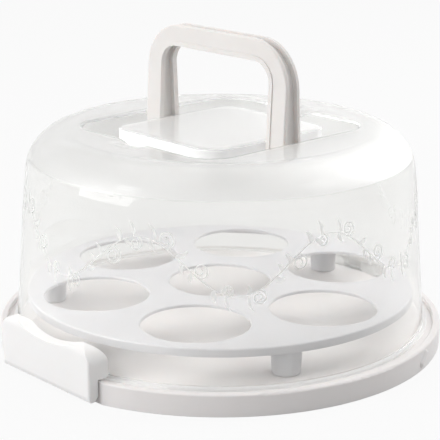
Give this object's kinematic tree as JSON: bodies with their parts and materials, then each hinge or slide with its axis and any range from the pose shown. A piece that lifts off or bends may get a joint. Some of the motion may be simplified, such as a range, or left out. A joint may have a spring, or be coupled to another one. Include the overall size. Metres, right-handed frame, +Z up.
{
  "type": "cake carrier with hinged lid",
  "caption": "Round cake and cupcake carrier: white base, lift-out cupcake tray, clear hinged dome lid with folding handle, and front latch.",
  "frame": {"origin": "centre of the round base on the plane that it stands on", "axes": "+Z up along the carrier's axis; -Y towards the front latch, +Y towards the lid's hinge; X along the carrying handle"},
  "size_m": [0.3, 0.3, 0.2075],
  "materials": {
    "white_polypropylene": "moulded white polypropylene, soft gloss",
    "tray_polypropylene": "moulded white polypropylene, soft gloss",
    "clear_polypropylene": "clear moulded plastic, frosted over the crown, with a raised vine ornament",
    "handle_polypropylene": "moulded white polypropylene, satin",
    "latch_polypropylene": "moulded white polypropylene, soft gloss",
    "steel_pin": "drawn steel rod"
  },
  "bodies": {
    "base": {"base": "white_polypropylene", "hinge_pin": "white_polypropylene", "latch_pin": "steel_pin"},
    "tray": {"cupcake_tray": "tray_polypropylene"},
    "lid": {"lid": "clear_polypropylene", "handle_pin_left": "handle_polypropylene", "handle_pin_right": "handle_polypropylene"},
    "handle": {"carrying_handle": "handle_polypropylene"},
    "latch": {"latch": "latch_polypropylene"}
  },
  "joints": [
    {"name": "lid_hinge", "type": "hinge", "parent": "base", "child": "lid", "pos_m": [0, 0.1454, 0.018], "axis": [-1, 0, 0], "range_deg": [0, 100]},
    {"name": "handle_fold", "type": "hinge", "parent": "lid", "child": "handle", "pos_m": [0, 0, 0.136], "axis": [1, 0, 0], "range_deg": [-90, 90]},
    {"name": "latch_turn", "type": "hinge", "parent": "base", "child": "latch", "pos_m": [0, -0.1456, 0.005], "axis": [1, 0, 0], "range_deg": [0, 90]},
    {"name": "tray_lift", "type": "slide", "parent": "base", "child": "tray", "axis": [0, 0, 1], "range_m": [0, 0.04]}
  ]
}
